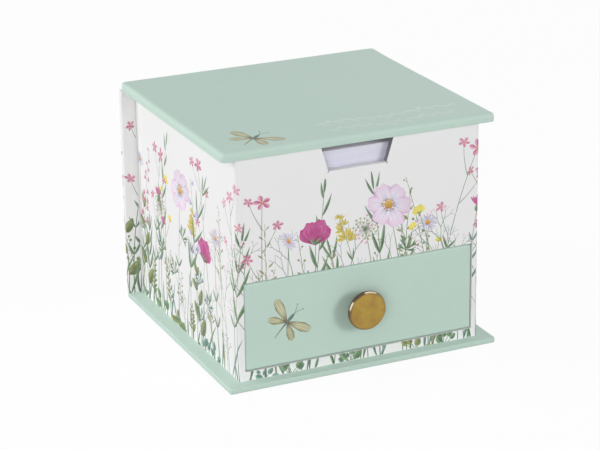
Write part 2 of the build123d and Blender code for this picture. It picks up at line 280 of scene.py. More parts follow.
NODE_MATERIALS = {
    green_paper: ("base_cover", "lid_cover", "drawer_front_cover", "drawer_wrap"),
    printed_paper: ("body_wrap", "spine_cover", "lid_joint"),
    lining_paper: ("compartment_lining", "lid_lining", "drawer_lining"),
    stack_paper: ("memo_sheets",),
    brass: ("knob_head", "knob_stem"),
    steel: ("knob_screw", "knob_washer"),
}
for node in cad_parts.values():
    node.material_slots[0].material = board
for material, names in NODE_MATERIALS.items():
    for name in names:
        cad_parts[name].material_slots[0].material = material

# ======== mesh work shared by the pieces


def add_object(name, mesh, material, body):
    """A piece of one material, riding on a body if one is given."""
    mesh.materials.append(material)
    piece = bpy.data.objects.new(name, mesh)
    bpy.context.scene.collection.objects.link(piece)
    if body:
        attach(piece, body)
    return piece


def add_piece(name, points, faces, material, body, slot, smooth=True):
    """A mesh piece from points in millimetres."""
    mesh = bpy.data.meshes.new(name)
    mesh.from_pydata([tuple(p) for p in np.asarray(points, float) * MM], [], faces)
    mesh.validate()
    mesh.polygons.foreach_set("use_smooth", [smooth] * len(mesh.polygons))
    return add_object(name, mesh, material, body)


def quads(numbers):
    """Faces over a grid of point numbers."""
    corners = [numbers[:-1, :-1], numbers[1:, :-1], numbers[1:, 1:], numbers[:-1, 1:]]
    return np.stack(corners, axis=-1).reshape(-1, 4).tolist()


def ring_faces(rings, around, start=0):
    """Quads that join closed rings of points, each ring after the last."""
    here = start + np.arange((rings - 1) * around).reshape(-1, around)
    following = np.roll(here, -1, axis=1)
    return np.stack([here, following, following + around, here + around], axis=-1).reshape(-1, 4).tolist()


def closed_skin(rings):
    """Points and faces of a closed form over rings that lie one above another."""
    around = len(rings[0])
    faces = ring_faces(len(rings), around)
    faces.append(tuple(range(around - 1, -1, -1)))
    faces.append(tuple(range((len(rings) - 1) * around, len(rings) * around)))
    return np.vstack(rings), faces


def rounded_outline(low, high, radius, inset, corner_steps, side_steps):
    """Points round a rectangle with round corners, drawn in by an inset, anticlockwise."""
    centre = (low + high) / 2
    round_off = max(radius - inset, 0.02)
    reach = (high - low) / 2 - inset - round_off
    corners = []
    for quarter, sign in enumerate(((1, 1), (-1, 1), (-1, -1), (1, -1))):
        angles = math.pi / 2 * (quarter + np.linspace(0, 1, corner_steps + 1))
        bend = round_off * np.column_stack([np.cos(angles), np.sin(angles)])
        corners.append(centre + np.array(sign) * reach + bend)
    outline = []
    shares = np.arange(1, side_steps)[:, None] / side_steps
    for corner, following in zip(corners, corners[1:] + corners[:1]):
        outline += [corner, corner[-1] + (following[0] - corner[-1]) * shares]
    return np.vstack(outline)


def wrapped_board(low, high, corner_radius, profile, side_steps, corner_steps):
    """Rings of a board wrapped in paper. The profile lists (inset, height) from its underside to its top."""
    rings = []
    for inset, height in profile:
        outline = rounded_outline(low[:2], high[:2], corner_radius, inset, corner_steps, side_steps)
        rings.append(np.column_stack([outline, np.full(len(outline), height)]))
    return rings


def edge_arc(radius, height, upward, steps=6):
    """Profile points of a rounded edge: from the side to the top, or from the underside to the side."""
    points = []
    for step in range(steps + 1):
        angle = math.pi / 2 * step / steps
        early, late = radius * (1 - math.cos(angle)), radius * (1 - math.sin(angle))
        points.append((early, height - late) if upward else (late, height + early))
    return points


# ======== lid cover and its padding


def make_lid():
    """The green paper pulled over board and foam: soft wide edges and a barely crowned top."""
    underside, top = lid_low[2], lid_high[2]
    crown, plateau, ripple, give = 0.1, 42.0, 0.035, 0.6
    middle, shoulder = (underside + top) / 2, top - crown
    profile = [(COVER_TURN_IN, underside + PAPER), (COVER_TURN_IN, underside)]
    profile += [(8.0, underside), (2.0, underside)]
    profile += edge_arc(FOLD_RADIUS, underside, upward=False)
    profile.append((0.0, middle - 0.4))
    profile += edge_arc(LID_EDGE_RADIUS, shoulder, upward=True, steps=10)
    for inset in (2.4, 3.4, 5.0, 7.5, 11.0, 16.0, 23.0, 32.0, plateau):
        share = (inset - LID_EDGE_RADIUS) / (plateau - LID_EDGE_RADIUS)
        profile.append((inset, shoulder + crown * math.sin(share * math.pi / 2) ** 0.8))
    rings = wrapped_board(lid_low, lid_high, LID_CORNER_RADIUS, profile, side_steps=26, corner_steps=8)
    points, faces = closed_skin(rings)
    x, y, z = points.T
    waves = np.random.default_rng(5).uniform(0, 2 * math.pi, 3)
    swell = np.sin(x / 13 + waves[0]) + np.sin(y / 17 + waves[1]) + np.sin((x + y) / 9 + waves[2])
    on_top = np.clip(z - (shoulder - 1.0), 0, 1)
    sink = on_top * (crown - ripple * swell) * give
    # the joint pulls the paper tighter round the back edge
    pull_start, pull_length, tightening = 14.0, 12.0, 0.45
    tight = np.clip((y - lid_high[1] + pull_start) / pull_length, 0, 1)
    radius = LID_EDGE_RADIUS * (1 - tightening * tight)
    inset = np.repeat([inset for inset, _ in profile], len(rings[0]))
    curve = radius * (1 - np.sqrt(1 - (np.clip(radius - inset, 0, None) / radius) ** 2))
    round_edge = (inset < LID_EDGE_RADIUS) & (z > middle - 0.3)
    points[:, 2] = np.where(round_edge, shoulder - curve, z) - sink
    lid = add_piece("padded_lid_cover", points, faces, green_paper, "lid", "green_paper")
    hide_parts("lid_cover", "lid_padding")
    return lid


lid_cover = make_lid()

# ======== base cover


def make_base():
    """The green paper round the base board, with softly pressed folds."""
    low, high, middle = base_low[2], base_high[2], 30.0
    profile = [(middle, low), (4.0, low)]
    profile += edge_arc(BASE_EDGE_RADIUS, low, upward=False)
    profile += edge_arc(BASE_EDGE_RADIUS, high, upward=True)
    profile += [(2.0, high), (5.0, high), (COVER_TURN_IN - 0.1, high)]
    profile += [(COVER_TURN_IN, high - PAPER), (middle, high - PAPER)]
    rings = wrapped_board(base_low, base_high, BASE_CORNER_RADIUS, profile, side_steps=8, corner_steps=6)
    base = add_piece("wrapped_base_cover", *closed_skin(rings), green_paper, "box", "green_paper")
    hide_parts("base_cover")


make_base()

# ======== paper joint of the lid


def make_joint():
    """The folded paper strip that lets the lid turn, bent from the spine over to the lid."""
    columns, rows = 24, 10
    start = np.array([spine_high[1], spine_high[2]])
    end = np.array([joint_low[1] + 0.02, joint_high[2] - 0.02])
    thickness, sag = 0.3, 0.35
    points = []
    for side in (0, 1):
        for share in np.arange(rows + 1) / rows:
            droop = sag * math.sin(math.pi * share) + side * thickness
            y, z = start + (end - start) * share - droop / math.sqrt(2)
            for x in np.linspace(joint_low[0], joint_high[0], columns + 1):
                points.append((x, y, max(z, spine_high[2])))
    numbers = np.arange(len(points)).reshape(2, rows + 1, columns + 1)
    faces = quads(np.vstack([numbers[0], numbers[1, ::-1], numbers[0, :1]]))
    faces += quads(numbers[::-1, :, 0].T) + quads(numbers[:, :, -1].T)
    joint = add_piece("folded_lid_joint", points, faces, printed_paper, None, "printed_paper")
    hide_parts("lid_joint")
    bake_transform(joint)


make_joint()

# ======== memo sheets


def make_stack():
    """The loose sheets in small handfuls that don't quite line up, with a smooth top sheet."""
    luck = random.Random(11)
    handful, stray = 0.5, 0.06
    height = stack_high[2] - stack_low[2]
    count = int(height / handful)
    middle = (stack_low + stack_high)[:2] / 2
    half = (stack_high - stack_low)[:2] / 2 - stray
    corners = np.array([(-1, -1), (1, -1), (1, 1), (-1, 1)])
    rings = []
    for layer in range(count):
        shift = np.array([luck.uniform(-stray, stray), luck.uniform(-stray, stray)])
        for edge in (0, 1):
            z = stack_low[2] + (layer + edge) * height / count
            rings.append(np.column_stack([middle + shift + corners * half, np.full(4, z)]))
    stack = add_piece("memo_sheet_stack", *closed_skin(rings), stack_paper, "box", "memo_paper", smooth=False)
    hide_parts("memo_sheets")


make_stack()

# ======== thumb notch


def make_notch_edges():
    """Bare board on the notch's sloping sides, its dark tone partly painted shade, and the snips in the paper
    at its lower corners.
    """
    middle, half_low, half_high, depth, wall, lift = -0.9, 11.55, 14.4, 9.35, 2.3, 0.02
    snip = ((-0.12, 0.02), (0.06, 0.3), (0.3, -0.1), (0.26, -0.85), (0.0, -0.4))
    front, top, steps = body_low[1], body_high[2], 8
    points, faces = [], []
    for side in (-1, 1):
        numbers = len(points) + np.arange(2 * (steps + 1)).reshape(-1, 2)
        faces += quads(numbers[::-side])
        for share in np.arange(steps + 1) / steps:
            x = middle + side * (half_low + (half_high - half_low) * share - lift)
            z = top - depth * (1 - share)
            points += [(x, front + PAPER, z), (x, front + wall, z)]
        corner = np.array([middle + side * half_low, front - lift, top - depth])
        ring = len(points) + np.arange(len(snip))
        faces.append(ring[::-side].tolist())
        points += [corner + (side * across, 0.0, upward) for across, upward in snip]
    # dark board over the sloping sides: partly the bare board, partly painted shade in the notch
    add_piece("notch_board_and_painted_shade", points, faces, board, "box", "greyboard", smooth=False)


make_notch_edges()

# ======== knob


def make_knob():
    """The turned brass disc: a barely domed face, a bowed shoulder, and a back that tapers to the stem."""
    centre = (knob_low + knob_high) / 2
    radius = (knob_high[0] - knob_low[0]) / 2
    back, face = knob_high[1], knob_low[1]
    back_radius, rim, bevel, shoulder, steepest, flattest = 4.6, 1.5, 0.12, 1.45, 80.0, 40.0
    steps, dome_steps, around = 8, 12, 96
    profile = [(back_radius, back), (radius - bevel, face + rim), (radius, face + rim - bevel)]
    reach, y = profile[-1]
    for step in range(steps):
        slope = math.radians(steepest + (flattest - steepest) * (step + 0.5) / steps)
        reach -= shoulder / steps * math.cos(slope)
        y -= shoulder / steps * math.sin(slope)
        profile.append((reach, y))
    for step in (0.2, *range(1, dome_steps)):
        share = 1 - step / dome_steps
        profile.append((reach * share, face + (y - face) * share**4))
    angles = 2 * math.pi * np.arange(around) / around
    points = [(centre[0], back, centre[2])]
    for out, y in profile:
        points += [(centre[0] + out * math.cos(a), y, centre[2] + out * math.sin(a)) for a in angles]
    points.append((centre[0], face, centre[2]))
    faces = ring_faces(len(profile), around, start=1)
    last = len(points) - 1
    for i in range(around):
        j = (i + 1) % around
        faces += [(0, 1 + j, 1 + i), (last, last - around + i, last - around + j)]
    knob = add_piece("turned_knob_disc", points, faces, brass, "drawer", "aged_brass")
    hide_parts("knob_head")


make_knob()

# ======== printed wildflowers, drawn flat
# The print is drawn in millimetres across and up each sheet, then folded round the boards.

INKS = {
    "leaf_deep": "#23502F", "leaf_pale": "#8FB57F", "fir": "#1F4A46", "sea": "#4F8A78",
    "sea_pale": "#94C0AE", "moss": "#4F5E22", "moss_pale": "#A3AB5C", "bark": "#6E5F42",
    "stem": "#7C9A62", "stem_deep": "#3C6242", "petal": "#F6ECF6", "petal_heart": "#F3F1FB",
    "petal_rim": "#DC9CD0", "vein": "#5F7FC4", "gold": "#F0BE2A", "amber": "#C4691A",
    "umber": "#5E3F1C", "rose_pale": "#F3BFD4", "rose": "#E07FAA", "rose_deep": "#B93470",
    "magenta_pale": "#DD5FAB", "magenta": "#AE1674", "wine": "#700A48", "lemon": "#F1E35C",
    "lemon_deep": "#B89C22", "lilac": "#CDB6E4", "lilac_deep": "#7F66B4", "seed": "#D6D3AA",
    "seed_deep": "#8E8C52", "white": "#FAF9FB", "mist": "#B9AECB", "chalk": "#D9EBE2",
}
INKS = {name: np.array(linear(hex_colour)) for name, hex_colour in INKS.items()}
LEAF = ("leaf_deep", "leaf_pale")
SEA = ("fir", "sea_pale")
MOSS = ("moss", "moss_pale")
STEM = ("stem_deep", "stem")
PINK = ("rose_deep", "rose_pale")
GREENS = (LEAF, LEAF, MOSS, SEA)


class Sheet:
    """Ink on one sheet: small coloured patches, each lying just above the patches that it covers."""

    CELL = 1.0
    REACH = 320

    def __init__(self, seed):
        self.luck = random.Random(seed)
        self.patches = []
        self.pile = np.zeros((2 * self.REACH, 2 * self.REACH), int)
        self.lean = None

    def vary(self, middle, spread):
        return middle + self.luck.uniform(-spread, spread)

    def tilt(self, centre=None, squash=1.0, turn=0.0):
        """See what follows tilted away about a centre, or flat again if no centre is given."""
        if centre is None:
            self.lean = None
            return
        swing = np.column_stack([toward(turn), toward(turn + 90)])
        self.lean = (np.array(centre), swing @ np.diag([1.0, squash]) @ swing.T)

    def lay(self, points, inks):
        """Add a patch from a grid of points with an ink at each; no two patches are quite as strong."""
        points = np.asarray(points, float)
        if self.lean is not None:
            centre, matrix = self.lean
            points = centre + (points - centre) @ matrix.T
        middles = (points[1:, 1:] + points[:-1, :-1]) / 2
        samples = np.vstack([points.reshape(-1, 2), middles.reshape(-1, 2)])
        nudges = self.CELL / 2 * np.array([(-1, -1), (-1, 1), (1, -1), (1, 1), (0, 0)])
        cells = ((samples[:, None] + nudges) / self.CELL).reshape(-1, 2)
        cells = np.clip(cells.astype(int) + self.REACH, 0, 2 * self.REACH - 1)
        level = self.pile[cells[:, 0], cells[:, 1]].max() + 1
        self.pile[cells[:, 0], cells[:, 1]] = level
        inks = np.broadcast_to(inks, (*points.shape[:2], 3)) * self.vary(1.0, 0.08)
        self.patches.append((points, np.clip(inks, 0, 0.95), level))


def mixed(first, second, share):
    """Ink between two inks, by a share or a grid of shares."""
    share = np.clip(np.asarray(share, float), 0, 1)[..., None]
    return INKS[first] * (1 - share) + INKS[second] * share


def toward(heading):
    """Unit vector along a heading in degrees."""
    angle = math.radians(heading)
    return np.array([math.cos(angle), math.sin(angle)])


def bent_line(foot, heading, length, curl=0.0, steps=8):
    """Points of a line that leaves foot at a heading in degrees and turns by curl along its length."""
    headings = np.radians(heading + curl * np.linspace(0, 1, steps))
    moves = length / (steps - 1) * np.column_stack([np.cos(headings), np.sin(headings)])
    return np.asarray(foot, float) + np.vstack([[0, 0], np.cumsum(moves[:-1], axis=0)])


def ribbon(line, half, sides):
    """Grid of points across a line: at each of its points, out to the sides by shares of half its width."""
    run = np.gradient(line, axis=0)
    run /= np.linalg.norm(run, axis=1)[:, None]
    left = np.column_stack([-run[:, 1], run[:, 0]])
    return line[:, None] + left[:, None] * (half[:, None] * sides)[..., None]


def spot(line, share):
    """Point and heading in degrees at a share of a line's length."""
    place = min(share, 1.0) * (len(line) - 1)
    low = min(int(place), len(line) - 2)
    run = line[low + 1] - line[low]
    return line[low] + run * (place - low), math.degrees(math.atan2(run[1], run[0]))


def stroke(sheet, line, thick, thin, first, second):
    """A brush line that thins along its way, with a lighter left edge."""
    half = np.linspace(thick, thin, len(line)) / 2
    sides = np.array([-1.0, 0.2, 1.0])
    along = np.linspace(0, 1, len(line))[:, None]
    sheet.lay(ribbon(line, half, sides), mixed(first, second, 0.7 * along + 0.3 * (sides > 0.5)))


def blade(sheet, foot, heading, length, width, first, second, curl=0.0, widest=0.42, blunt=1.0, rows=7):
    """A leaf or narrow petal: dark on one side of its midrib, washed out on the other and at its tip."""
    line = bent_line(foot, heading, length, curl, rows)
    along = np.linspace(0, 1, rows)
    swell = np.sin(math.pi * along ** (math.log(0.5) / math.log(widest))) ** blunt
    half = width / 2 * (0.05 + 0.95 * np.clip(swell, 0, 1))
    sides = np.array([-1.0, -0.5, -0.08, 0.08, 0.55, 1.0])
    wash = sheet.vary(0.0, 0.1) + 0.3 * along[:, None] + np.array([0.16, 0.0, 0.0, 0.34, 0.6, 0.4])
    sheet.lay(ribbon(line, half, sides), mixed(first, second, wash))


def dot(sheet, centre, size, first, second, steps=3):
    """A round touch of the brush, darker below."""
    way = np.linspace(-1, 1, steps)
    across, upward = np.meshgrid(way, way, indexing="ij")
    rounded = np.stack([across * np.sqrt(1 - upward**2 / 2), upward * np.sqrt(1 - across**2 / 2)], axis=-1)
    sheet.lay(np.asarray(centre) + rounded * size / 2, mixed(first, second, 0.5 + 0.5 * upward))


def petal(sheet, foot, heading, length, width, inks, notch=0.0, narrow=0.12):
    """A broad petal with a round end, washed from heart to rim in fine brush streaks."""
    along, side = np.meshgrid(np.linspace(0, 1, 8), np.linspace(-1, 1, 13), indexing="ij")
    phase = sheet.luck.uniform(0, 6)
    reach = 0.6 + 0.4 * np.sqrt(1 - 0.97 * side**2) - notch * np.exp(-((side / 0.22) ** 2))
    reach += 0.03 * np.sin(side * 8 + phase)
    forward = length * along * (reach * along + 0.92 * (1 - along))
    spread = width / 2 * side * (narrow + (1 - narrow) * np.sin(math.pi / 2 * along) ** 1.1)
    points = foot + forward[..., None] * toward(heading) + spread[..., None] * toward(heading + 90)
    heart, body, rim = inks
    streaks = 0.5 + 0.5 * np.sin(side * 19 + phase)
    wash = 0.5 * np.clip(2.2 * (along - 0.5), 0, 1) * (0.3 + 0.7 * streaks) + 0.8 * np.abs(side) ** 6 * along
    wash = np.clip(wash, 0, 1)[..., None]
    sheet.lay(points, mixed(heart, body, along * 2 + 0.3 * streaks) * (1 - wash) + INKS[rim] * wash)


# ======== flower heads
# Each is drawn at the end of a stalk, from its place, heading and size.


def blossom(sheet, place, heading, size, petals=6, inks=("petal_heart", "petal", "petal_rim")):
    """A wide blossom of notched petals, veined blue, round a button of gold stamens."""
    sheet.tilt(place, sheet.vary(0.82, 0.08), sheet.vary(0, 40))
    radius = size / 2
    spin = sheet.luck.uniform(0, 60)
    for number in (*range(0, petals, 2), *range(1, petals, 2)):
        way = spin + 360 / petals * number + sheet.vary(0, 5)
        length = radius * sheet.vary(1.0, 0.07)
        petal(sheet, place, way, length, radius * sheet.vary(0.74, 0.05), inks, notch=0.12, narrow=0.24)
        for fan in (-18, -9, 0, 9, 18):
            rib = bent_line(place, way + fan, length * sheet.vary(0.66, 0.16), -fan * 0.35, 6)
            stroke(sheet, rib, 0.44, 0.05, "vein", inks[1])
    for ray in range(18):
        thread = bent_line(place, ray * 20 + sheet.vary(0, 6), radius * sheet.vary(0.25, 0.04), 0, 3)
        stroke(sheet, thread, 0.14, 0.1, "seed_deep", "gold")
        dot(sheet, thread[-1], radius * 0.07, "umber", "gold")
    dot(sheet, place, radius * 0.36, "amber", "gold", steps=6)
    for speck in range(14):
        reach = radius * 0.15 * math.sqrt(speck / 14)
        dot(sheet, place + reach * toward(speck * 137.5), radius * 0.055, "umber", "lemon")
    sheet.tilt()


def star(sheet, place, heading, size, inks=PINK, petals=5, slim=0.28):
    """A small open flower of narrow petals round a gold eye."""
    sheet.tilt(place, sheet.vary(0.75, 0.15), sheet.vary(0, 60))
    spin = sheet.luck.uniform(0, 360)
    for number in range(petals):
        way = spin + 360 / petals * number + sheet.vary(0, 5)
        blade(sheet, place, way, sheet.vary(0.5, 0.05) * size, size * slim, *inks, widest=0.64, blunt=0.7)
    dot(sheet, place, size * (0.14 if petals < 8 else 0.26), "amber", "gold", steps=4)
    sheet.tilt()


def cup(sheet, place, heading, size, inks=("wine", "magenta", "magenta_pale"), fan=32, slim=0.62):
    """A cup of broad petals seen from the side, two behind and three in front, over two sepals."""
    for spread, reach in ((-1.25, 0.84), (1.25, 0.88), (-0.5, 1.0), (0.6, 0.96), (0.05, 0.9)):
        petal(sheet, place, heading + spread * fan, size * reach, size * slim, inks)
    for side in (-1, 1):
        blade(sheet, place, heading + side * fan * 1.3, size * 0.34, size * 0.13, *LEAF)


def tuft(sheet, place, heading, size, inks=("magenta", "magenta_pale")):
    """A brush of fine petals over a scaly green bud."""
    for number in range(9):
        way = heading - 44 + 11 * number
        blade(sheet, place, way, sheet.vary(1, 0.12) * size, size * 0.16, *inks, widest=0.7)
    bud, _ = spot(bent_line(place, heading + 180, size * 0.42, 0, 3), 1.0)
    blade(sheet, bud, heading, size * 0.66, size * 0.46, *LEAF, blunt=0.6)


def floret(sheet, place, heading, size, inks=PINK):
    """Three little petals that point away from the stem."""
    for spread in (-34, 34, 0):
        blade(sheet, place, heading + spread, size, size * 0.36, *inks, blunt=0.8, rows=5)


def husk(sheet, place, heading, size, inks=("moss", "seed")):
    """A single narrow seed husk."""
    blade(sheet, place, heading, size, size * 0.3, *inks, rows=5)


def pod(sheet, place, heading, size, inks=MOSS):
    """A little round pod."""
    dot(sheet, place, size, *inks, steps=4)


# ======== plants


def stalk(sheet, foot, height, thick=0.42, lean=9, curl=22, inks=STEM):
    """A swaying stem; returns its line."""
    line = bent_line((foot, 1.0), 90 + sheet.vary(0, lean), height, sheet.vary(0, curl), steps=22)
    stroke(sheet, line, thick, thick * 0.5, *inks)
    return line


def shoot(sheet, line, share, side, angle, length, curl=0.0, inks=STEM, thick=0.26):
    """A side stalk of a line, to its left (1) or right (-1); returns its line."""
    foot, heading = spot(line, share)
    twig = bent_line(foot, heading + side * sheet.vary(angle, 5), length, side * curl)
    stroke(sheet, twig, thick, thick * 0.6, *inks)
    return twig


def leaflets(sheet, line, shares, length, width, greens, angle=38, curl=-14, paired=True, **shape):
    """Leaves along a line, in pairs or one by one, smaller towards its tip."""
    for number, share in enumerate(shares):
        foot, heading = spot(line, share)
        size = 1.15 - 0.6 * share
        for side in (-1, 1) if paired else ((-1, 1)[number % 2],):
            way = heading + side * sheet.vary(angle, 8)
            reach = length * size * sheet.vary(1, 0.15)
            blade(sheet, foot, way, reach, width * size, *greens, side * curl, **shape)


def palm_leaf(sheet, line, share, side, size, greens=LEAF):
    """A leaf cut into narrow fingers, each with a side lobe, on a thin stalk."""
    tip, heading = spot(shoot(sheet, line, share, side, 44, size * 0.8, -16), 1.0)
    for spread, reach in ((-78, 0.6), (-40, 0.85), (0, 1.0), (40, 0.85), (78, 0.6)):
        finger = bent_line(tip, heading + spread, size * reach, 0, 4)
        blade(sheet, tip, heading + spread, size * reach, size * 0.13, *greens, widest=0.55)
        leaflets(sheet, finger, (0.5,), size * 0.4, size * 0.09, greens, angle=34)


def branching(sheet, foot, height, head, size, arms=(), pairs=(), palms=(), greens=LEAF, **look):
    """A stem with leaves below, and a flower at its tip and at the tip of each arm."""
    line = stalk(sheet, foot, height)
    leaflets(sheet, line, pairs, 6.5, 1.2, greens)
    for share, side in palms:
        palm_leaf(sheet, line, share, side, 7.0, greens)
    for share, side in arms:
        twig = shoot(sheet, line, share, side, 36, height * 0.17, -20)
        head(sheet, *spot(twig, 1.0), size * sheet.vary(0.66, 0.1), **look)
    head(sheet, *spot(line, 1.0), size, **look)


def spike(sheet, foot, height, head, size, low, count, arm, pairs=(), stems=STEM, thick=0.36, **look):
    """A stem set round its upper part with small heads on short stalks, smaller towards the tip."""
    line = stalk(sheet, foot, height, thick, inks=stems)
    leaflets(sheet, line, pairs, 6.0, 1.0, LEAF, angle=26)
    angle, length, curl = arm
    for number in range(count):
        shrink = 1.2 - 0.75 * number / count
        share = low + (1 - low) * sheet.vary(number, 0.6) / count
        twig = shoot(sheet, line, share, (-1, 1)[number % 2], angle, length * shrink, curl, stems, 0.2)
        head(sheet, *spot(twig, 1.0), size * shrink, **look)


def sprig(sheet, foot, height, count, leaf, low=0.25, greens=LEAF, thick=0.4, **habit):
    """A leafy stem with a last leaf at its tip."""
    line = stalk(sheet, foot, height, thick, inks=(greens[0], "stem"))
    shares = [low + (0.97 - low) * number / (count - 1) for number in range(count)]
    leaflets(sheet, line, shares, *leaf, greens, **habit)
    blade(sheet, *spot(line, 1.0), leaf[0] * 0.55, leaf[1] * 0.55, *greens)


def spray(sheet, foot, heading, length, forks, stems, head=None, size=1.0, **look):
    """A twig that forks again and again into hair-thin stalks, with a touch of colour at each tip."""
    line = bent_line(foot, heading, length, sheet.vary(0, 16), 5)
    stroke(sheet, line, 0.12 + 0.05 * forks, 0.1 + 0.04 * forks, *stems)
    tip, way = spot(line, 1.0)
    if forks:
        for side in (-1, 1):
            fork = way + side * sheet.vary(24, 9)
            spray(sheet, tip, fork, length * 0.74, forks - 1, stems, head, size, **look)
    elif head:
        head(sheet, tip, way, size * sheet.vary(1, 0.25), **look)


def misty(sheet, foot, height, forks=4, stems=STEM, **tips):
    """A thin stem whose sprays carry a haze of tiny tips."""
    line = stalk(sheet, foot, height * 0.62, 0.34, inks=stems)
    for share, side in ((0.5, 1), (0.72, -1), (0.9, 1)):
        tip, heading = spot(shoot(sheet, line, share, side, 30, 3.0, 0, stems, 0.2), 1.0)
        spray(sheet, tip, heading, height * 0.09, forks - 1, stems, **tips)
    spray(sheet, *spot(line, 1.0), height * 0.11, forks, stems, **tips)


def seed_globe(sheet, foot, height, size=10.0):
    """An onion flower gone to seed: a globe of rays with tiny pale florets."""
    centre = stalk(sheet, foot, height, 0.45)[-1]
    for ray in range(38):
        thread = bent_line(centre, ray * 137.5, size / 2 * math.sqrt((ray + 1) / 38), 8, 4)
        stroke(sheet, thread, 0.14, 0.08, "stem_deep", "seed_deep")
        ink = ("rose", "rose_pale") if ray % 4 == 0 else ("seed_deep", "seed")
        floret(sheet, *spot(thread, 1.0), 1.0, ink)


def grass(sheet, foot, height):
    """One long thin blade of grass."""
    inks = sheet.luck.choice((LEAF, SEA, STEM, MOSS, ("bark", "seed")))
    line = bent_line((foot, 1.0), sheet.vary(90, 13), height, sheet.vary(0, 30), steps=14)
    stroke(sheet, line, sheet.vary(0.42, 0.14), 0.1, *inks)


def ground_leaves(sheet, foot, size, greens):
    """Low rounded leaves with pale ribs, each on a short stalk of its own from one root."""
    for number in range(5):
        way = sheet.vary(32 + 29 * number, 12)
        stem = bent_line((foot, 0.9), way, size * sheet.vary(0.5, 0.25), sheet.vary(0, 40), 5)
        stroke(sheet, stem, 0.34, 0.24, *STEM)
        tip, way = spot(stem, 1.0)
        length = size * sheet.vary(0.5, 0.12)
        blade(sheet, tip, way, length, length * 0.72, *greens, widest=0.4, blunt=0.6, rows=9)
        for fan in (-28, 0, 28):
            stroke(sheet, bent_line(tip, way + fan, length * 0.75, 0, 4), 0.16, 0.05, greens[1], greens[0])


# What each plant of the garden is made of
windflower = partial(branching, head=blossom, size=20.0, pairs=(0.45,), palms=((0.3, 1), (0.6, -1)))
poppy = partial(branching, head=cup, size=9.5, palms=((0.2, 1), (0.42, -1), (0.6, 1)), greens=SEA)
pink = partial(branching, head=star, size=7.4, arms=((0.55, 1), (0.72, -1), (0.86, 1)), pairs=(0.3, 0.5))
pale_pink = partial(
    pink, inks=("rose", "rose_pale"), slim=0.24,
    arms=((0.5, -1), (0.6, 1), (0.7, -1), (0.8, 1), (0.9, -1)),
)
daisy = partial(
    branching, head=star, size=8.6, inks=("mist", "white"), petals=16, slim=0.13, pairs=(0.3, 0.5),
)
buttercup = partial(
    branching, head=cup, size=3.6, inks=("lemon_deep", "lemon", "lemon"), fan=40,
    arms=((0.6, -1), (0.76, 1)), palms=((0.4, 1),),
)
knapweed = partial(branching, head=tuft, size=4.6, arms=((0.66, -1),), pairs=(0.45, 0.6, 0.75), greens=SEA)
bellflower = partial(
    spike, head=cup, size=4.3, inks=("lilac_deep", "lilac", "petal_heart"), fan=16, slim=0.5,
    low=0.5, count=6, arm=(24, 3.4, -110), pairs=(0.2, 0.34), stems=("fir", "sea"),
)
loosestrife = partial(
    spike, head=floret, size=2.6, low=0.5, count=14, arm=(54, 1.5, 0), pairs=(0.2, 0.32, 0.44),
)
toadflax = partial(
    spike, head=floret, size=3.4, inks=("lemon_deep", "lemon"),
    low=0.8, count=8, arm=(40, 0.8, 0), pairs=(0.4, 0.55, 0.68),
)
berry_twig = partial(spike, head=pod, size=1.3, low=0.4, count=10, arm=(46, 2.8, -16), stems=("bark", "stem"))
oat_grass = partial(spike, head=husk, size=3.0, low=0.5, count=9, arm=(24, 5.0, -84), stems=MOSS, thick=0.3)
fern = partial(sprig, count=18, leaf=(7.0, 1.4), low=0.15, greens=SEA, angle=56, paired=False)
willow = partial(sprig, count=8, leaf=(13.0, 1.8), low=0.3, angle=24, paired=False)
lance_sprig = partial(sprig, count=4, leaf=(15.0, 1.7), low=0.45, angle=26)
silver_sprig = partial(
    sprig, count=9, leaf=(6.0, 2.8), low=0.3, greens=SEA, angle=50, paired=False, blunt=0.75,
)
broadleaf = partial(
    sprig, count=5, leaf=(9.5, 4.6), low=0.2, greens=MOSS, angle=46, paired=False, blunt=0.75,
)
milk_vetch = partial(sprig, count=12, leaf=(4.4, 1.5), low=0.3, greens=MOSS, angle=58, paired=False)
baby_breath = partial(misty, head=pod, size=0.95, inks=("rose_pale", "white"))
thread_weed = partial(misty, forks=3, stems=("fir", "sea"))
UNDERGROWTH = (oat_grass, thread_weed, berry_twig, grass, milk_vetch, lance_sprig)


def sow(sheet, left, right, plants, gap=8.0, shortest=12, tallest=36):
    """Fill a stretch of the sheet: thin background first, then the chosen plants, then ground leaves."""
    for index in range(int((right - left) / gap)):
        foot = left + (index + sheet.luck.random()) * gap
        sheet.luck.choice(UNDERGROWTH)(sheet, foot, sheet.luck.uniform(shortest, tallest))
    for plant, foot, height in plants:
        plant(sheet, foot, height)
        root, bow = (sheet.vary(foot, 2.5), 0.8), sheet.vary(0, 34)
        blade(sheet, root, sheet.vary(90, 24), sheet.vary(14, 8), 1.1, *sheet.luck.choice(GREENS), bow)
    for index in range(int((right - left) / 15)):
        foot = left + (index + sheet.luck.random()) * 15
        ground_leaves(sheet, foot, sheet.vary(7.0, 2.5), sheet.luck.choice(GREENS))


